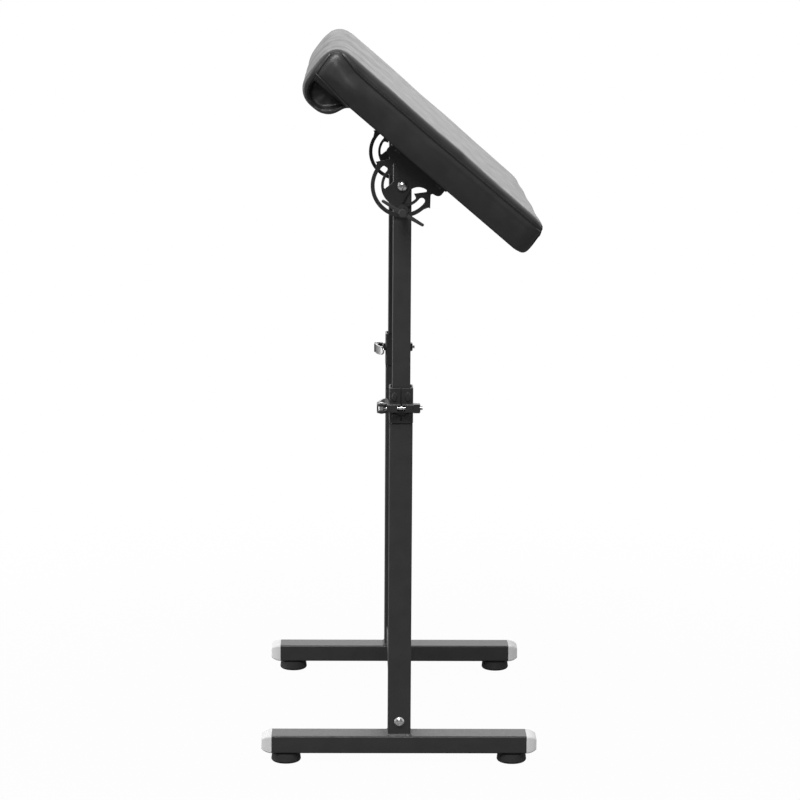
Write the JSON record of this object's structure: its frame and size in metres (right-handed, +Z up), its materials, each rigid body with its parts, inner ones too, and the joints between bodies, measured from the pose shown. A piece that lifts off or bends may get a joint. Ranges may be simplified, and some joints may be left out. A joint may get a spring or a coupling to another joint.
{
  "type": "tattoo arm rest stand",
  "caption": "Free-standing arm rest with an H-shaped base, telescopic square posts held by cam levers, and a long tilting padded rest.",
  "frame": {"origin": "on the floor under the middle of the stand, halfway between the posts", "axes": "+Z up; +X along the foot bars towards the pad's low side at rest; +Y along the pad, away from the near post"},
  "size_m": [0.384, 0.627, 0.9959],
  "materials": {
    "powder_coat": "satin black powder coat",
    "bracket_coat": "matt black powder coat",
    "handle_coat": "black coated casting",
    "washer_coat": "black oxide",
    "rubber": "matt moulded",
    "cap_plastic": "pale grey moulded",
    "black_plastic": "moulded nylon",
    "lever_steel": "plated pressing",
    "chrome": "bright plated",
    "zinc_steel": "zinc plated",
    "vinyl": "black vinyl over foam",
    "lining": "black non-woven cloth",
    "plywood": "bare plywood"
  },
  "bodies": {
    "base": {"foot_bar_near": "powder_coat", "outer_post_near": "powder_coat", "collar_near": "black_plastic", "clamp_bolt_near": "chrome", "cam_pin_near": "chrome", "cam_washer_near": "black_plastic", "clamp_nut_near": "black_plastic", "rubber_foot_near_left": "rubber", "end_cap_near_left": "cap_plastic", "rubber_foot_near_right": "rubber", "end_cap_near_right": "cap_plastic", "foot_bar_far": "powder_coat", "outer_post_far": "powder_coat", "collar_far": "black_plastic", "clamp_bolt_far": "chrome", "cam_pin_far": "chrome", "cam_washer_far": "black_plastic", "clamp_nut_far": "black_plastic", "rubber_foot_far_left": "rubber", "end_cap_far_left": "cap_plastic", "rubber_foot_far_right": "rubber", "end_cap_far_right": "cap_plastic", "foot_screws": "zinc_steel", "foot_nuts": "zinc_steel", "base_welds": "powder_coat", "crossbar": "powder_coat", "crossbar_plugs": "zinc_steel", "crossbar_bolts": "chrome"},
    "mast": {"inner_tube_near": "powder_coat", "top_plug_near": "black_plastic", "tube_guide_near": "black_plastic", "pivot_bolt_near": "chrome", "inner_tube_far": "powder_coat", "top_plug_far": "black_plastic", "tube_guide_far": "black_plastic", "pivot_bolt_far": "chrome", "pivot_washers": "washer_coat", "pivot_spacers": "black_plastic", "pivot_nuts": "zinc_steel", "stud_nuts": "zinc_steel"},
    "pad": {"bracket_near": "bracket_coat", "bracket_far": "bracket_coat", "pad_cushion": "vinyl", "pad_roll": "vinyl", "pad_board": "plywood", "pad_lining": "lining", "roll_batten": "plywood", "bracket_screws": "washer_coat", "batten_screws": "zinc_steel"},
    "lever_near": {"cam_fork_near": "black_plastic", "lever_blade_near": "lever_steel"},
    "lever_far": {"cam_fork_far": "black_plastic", "lever_blade_far": "lever_steel"},
    "t_handle_near": {"t_handle_near": "handle_coat"},
    "t_handle_far": {"t_handle_far": "handle_coat"}
  },
  "joints": [
    {"name": "mast_slide", "type": "slide", "parent": "base", "child": "mast", "axis": [0, 0, 1], "range_m": [-0.216, 0.055]},
    {"name": "pad_tilt", "type": "hinge", "parent": "mast", "child": "pad", "pos_m": [0, 0, 0.8095], "axis": [0, 1, 0], "range_deg": [-100.3, 39.7]},
    {"name": "lever_near_turn", "type": "hinge", "parent": "base", "child": "lever_near", "pos_m": [-0.0272, -0.272, 0.5064], "axis": [0, 0, 1], "range_deg": [0, 150]},
    {"name": "lever_far_turn", "type": "hinge", "parent": "base", "child": "lever_far", "pos_m": [-0.0272, 0.272, 0.5064], "axis": [0, 0, -1], "range_deg": [-2, 148]},
    {"name": "t_handle_near_turn", "type": "hinge", "parent": "mast", "child": "t_handle_near", "pos_m": [0, -0.2627, 0.7762], "axis": [0, -1, 0], "continuous": true},
    {"name": "t_handle_far_turn", "type": "hinge", "parent": "mast", "child": "t_handle_far", "pos_m": [0, 0.2627, 0.7762], "axis": [0, 1, 0], "continuous": true}
  ]
}
